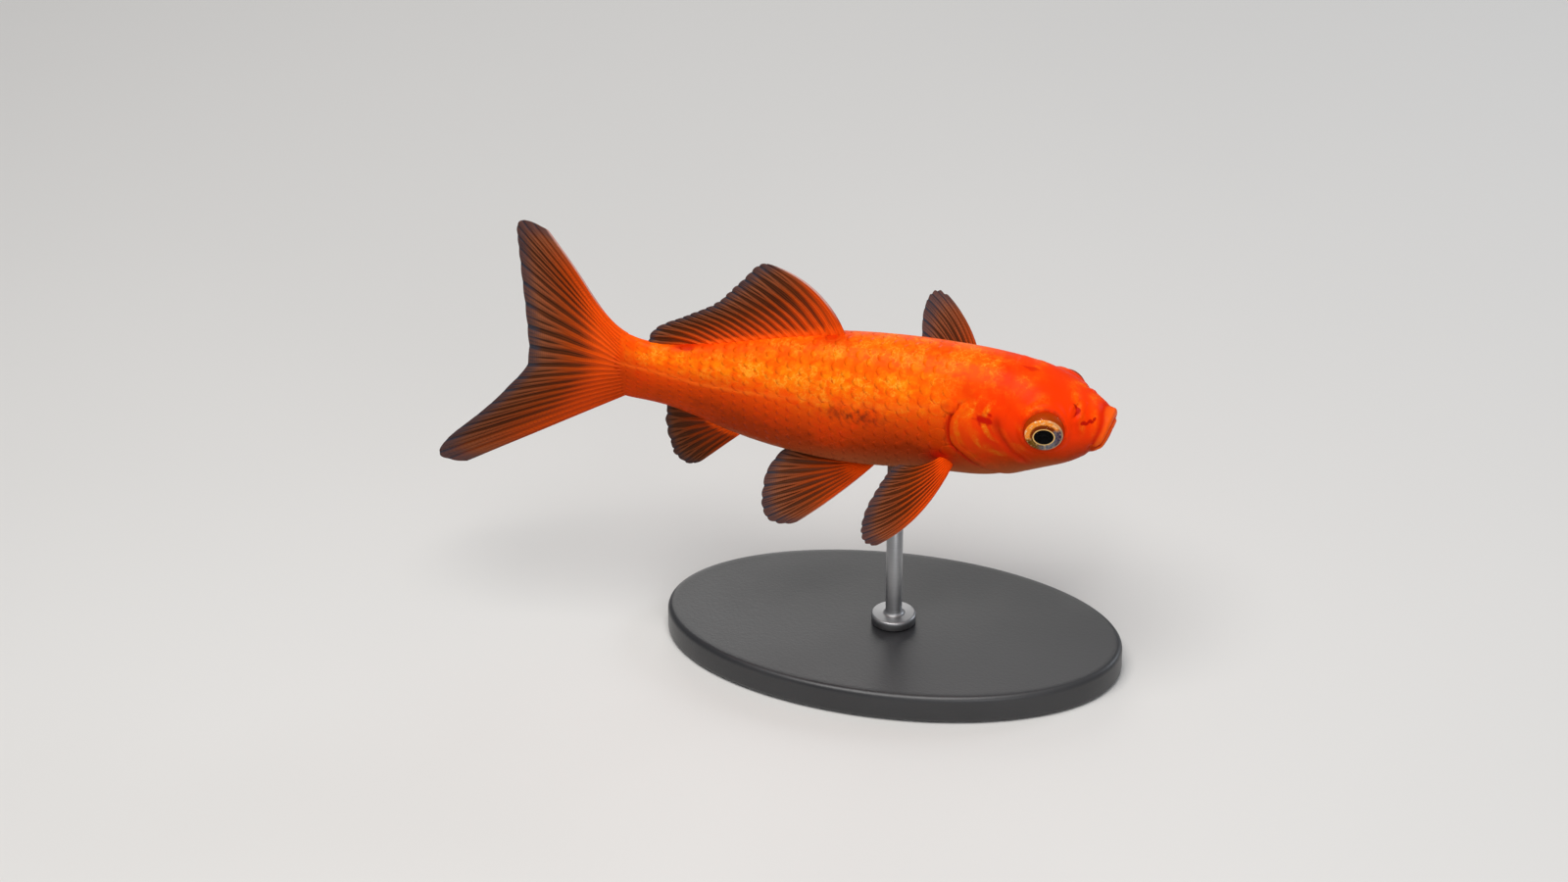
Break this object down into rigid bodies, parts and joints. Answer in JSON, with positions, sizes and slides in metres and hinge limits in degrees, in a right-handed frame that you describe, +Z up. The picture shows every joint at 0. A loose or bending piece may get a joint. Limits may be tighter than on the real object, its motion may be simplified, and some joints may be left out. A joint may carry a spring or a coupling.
{
  "type": "goldfish display model",
  "caption": "Young goldfish swimming with its fins spread, a still life-size model held by a post on a flat oval base.",
  "frame": {"origin": "the middle of the stand base's flat underside", "axes": "+X from the tail to the snout, +Y to the fish's left, +Z up; the fish's mouth and tail fin lie in the upper part"},
  "size_m": [0.0922, 0.0397, 0.0605],
  "materials": {
    "skin": "wet, orange-red, in small smooth scales",
    "fin": "thin clear membrane between orange rays",
    "eye": "gold iris round a black pupil, under a clear gloss",
    "stand_base": "satin black",
    "stand_post": "brushed"
  },
  "bodies": {
    "root": {"head": "skin", "upper_lip": "skin", "lower_jaw": "skin", "gill_cover_left": "skin", "gill_cover_right": "skin", "trunk": "skin", "tail_stem": "skin", "eye_left": "eye", "eye_right": "eye", "dorsal_fin": "fin", "anal_fin": "fin", "tail_fin": "fin", "pectoral_fin_left": "fin", "pectoral_fin_right": "fin", "pelvic_fin_left": "fin", "pelvic_fin_right": "fin", "stand_base": "stand_base", "stand_post": "stand_post"}
  },
  "joints": []
}
